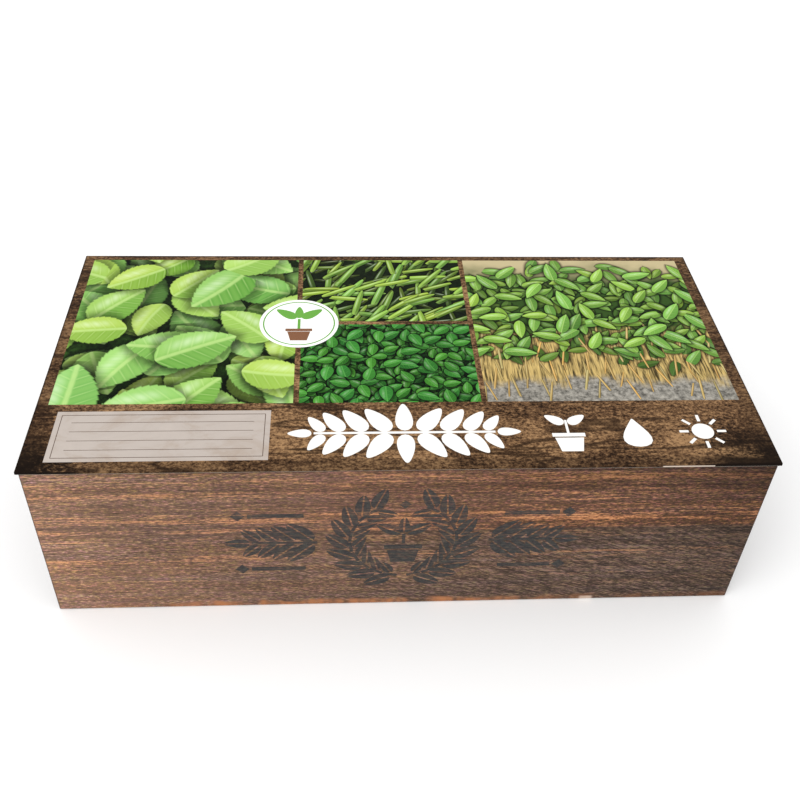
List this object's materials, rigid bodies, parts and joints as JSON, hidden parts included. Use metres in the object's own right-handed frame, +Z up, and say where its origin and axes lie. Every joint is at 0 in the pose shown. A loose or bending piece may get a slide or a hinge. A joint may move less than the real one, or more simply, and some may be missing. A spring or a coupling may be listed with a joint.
{
  "type": "indoor herb planter",
  "caption": "Rectangular stained wooden planter box closed by a flat printed card lid, holding a seed tray with a clear cover, a bag of growing medium, seed packets and labels.",
  "frame": {"origin": "middle of the underside, on the surface that the box stands on", "axes": "+X to the right along the front, +Y from the front to the back, +Z up"},
  "size_m": [0.342, 0.17, 0.0985],
  "materials": {
    "stained_wood": "dark reddish-brown stain, satin",
    "base_wood": "raw sawn",
    "brad_steel": "bright wire",
    "tray_plastic": "moulded white sheet",
    "bag_film": "printed film",
    "clear_plastic": "clear moulded sheet",
    "leaflet_paper": "printed, uncoated",
    "packet_paper": "printed, uncoated",
    "label_plastic": "satin",
    "lid_print": "printed, satin varnish",
    "tuck_card": "grey-brown board"
  },
  "bodies": {
    "box": {"front_board": "stained_wood", "back_board": "stained_wood", "left_end_board": "stained_wood", "right_end_board": "stained_wood", "base_board": "base_wood", "corner_brads": "brad_steel", "base_brads": "brad_steel"},
    "tray": {"seed_tray": "tray_plastic"},
    "medium": {"growing_medium_bag": "bag_film"},
    "cover": {"greenhouse_cover": "clear_plastic"},
    "kit": {"basil_seed_packet": "packet_paper", "chives_seed_packet": "packet_paper", "parsley_seed_packet": "packet_paper", "cress_seed_packet": "packet_paper", "plant_label_1": "label_plastic", "plant_label_2": "label_plastic", "plant_label_3": "label_plastic", "plant_label_4": "label_plastic", "instruction_leaflet": "leaflet_paper"},
    "lid": {"lid_card": "lid_print", "lid_tuck_frame": "tuck_card"}
  },
  "joints": [
    {"name": "tray_lift", "type": "slide", "parent": "box", "child": "tray", "axis": [0, 0, 1], "range_m": [0, 0.11]},
    {"name": "bag_lift", "type": "slide", "parent": "tray", "child": "medium", "axis": [0, 0, 1], "range_m": [0, 0.075]},
    {"name": "cover_lift", "type": "slide", "parent": "medium", "child": "cover", "axis": [0, 0, 1], "range_m": [0, 0.05]},
    {"name": "kit_lift", "type": "slide", "parent": "cover", "child": "kit", "axis": [0, 0, 1], "range_m": [0, 0.05]},
    {"name": "lid_lift", "type": "slide", "parent": "kit", "child": "lid", "axis": [0, 0, 1], "range_m": [0, 0.06]}
  ]
}
